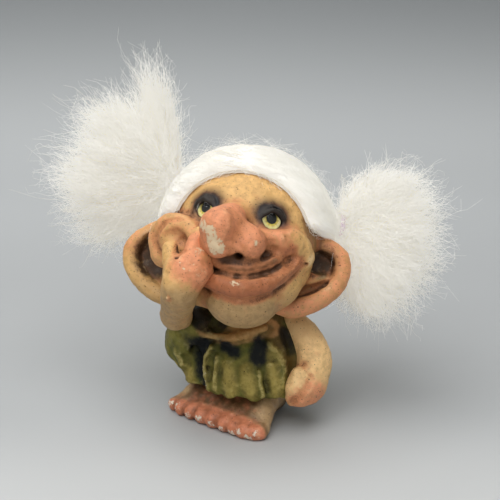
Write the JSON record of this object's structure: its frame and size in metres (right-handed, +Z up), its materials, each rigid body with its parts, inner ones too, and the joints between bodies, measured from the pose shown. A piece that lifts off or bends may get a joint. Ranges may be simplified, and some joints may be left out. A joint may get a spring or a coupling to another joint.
{
  "type": "folk troll figure",
  "caption": "Small standing folk troll with a big upturned head, a hand on its cheek, cupped ears, a ragged tunic and a white fur wig tied in bunches.",
  "frame": {"origin": "on the floor under the body, on the flat underside of the feet", "axes": "+Z up, the body faces -Y, the figure's left is +X"},
  "size_m": [0.119, 0.0947, 0.1032],
  "materials": {
    "painted_skin": "painted hollow casting, satin",
    "painted_tunic": "painted hollow casting, satin",
    "painted_feet": "painted casting, satin",
    "plaster_fill": "rough plaster",
    "eye_glass": "clear and polished",
    "iris_paint": "painted gold with a black pupil",
    "eye_wire": "drawn wire",
    "fur_hide": "undyed hide",
    "white_fur": "combed long fur",
    "hair_elastic": "pale lilac elastic"
  },
  "bodies": {
    "figure": {"head_casting": "painted_skin", "left_arm": "painted_skin", "right_arm": "painted_skin", "body_casting": "painted_tunic", "feet_casting": "painted_feet", "body_fill": "plaster_fill", "left_eye_glass": "eye_glass", "right_eye_glass": "eye_glass", "left_iris": "iris_paint", "right_iris": "iris_paint", "left_eye_wire": "eye_wire", "right_eye_wire": "eye_wire", "scalp_backing": "fur_hide", "hair_cap": "white_fur", "left_hair_tie": "hair_elastic", "right_hair_tie": "hair_elastic"},
    "left_bunch": {"left_hair_bunch": "white_fur"},
    "right_bunch": {"right_hair_bunch": "white_fur"}
  },
  "joints": [
    {"name": "left_bunch_swing", "type": "hinge", "parent": "figure", "child": "left_bunch", "pos_m": [0.0172, 0.02283, 0.05529], "axis": [0.6477, -0.6627, 0.3761], "range_deg": [-10, 25]},
    {"name": "right_bunch_swing", "type": "hinge", "parent": "figure", "child": "right_bunch", "pos_m": [-0.02811, 0.00202, 0.06635], "axis": [-0.3563, 0.8091, -0.4674], "range_deg": [-25, 12]}
  ]
}
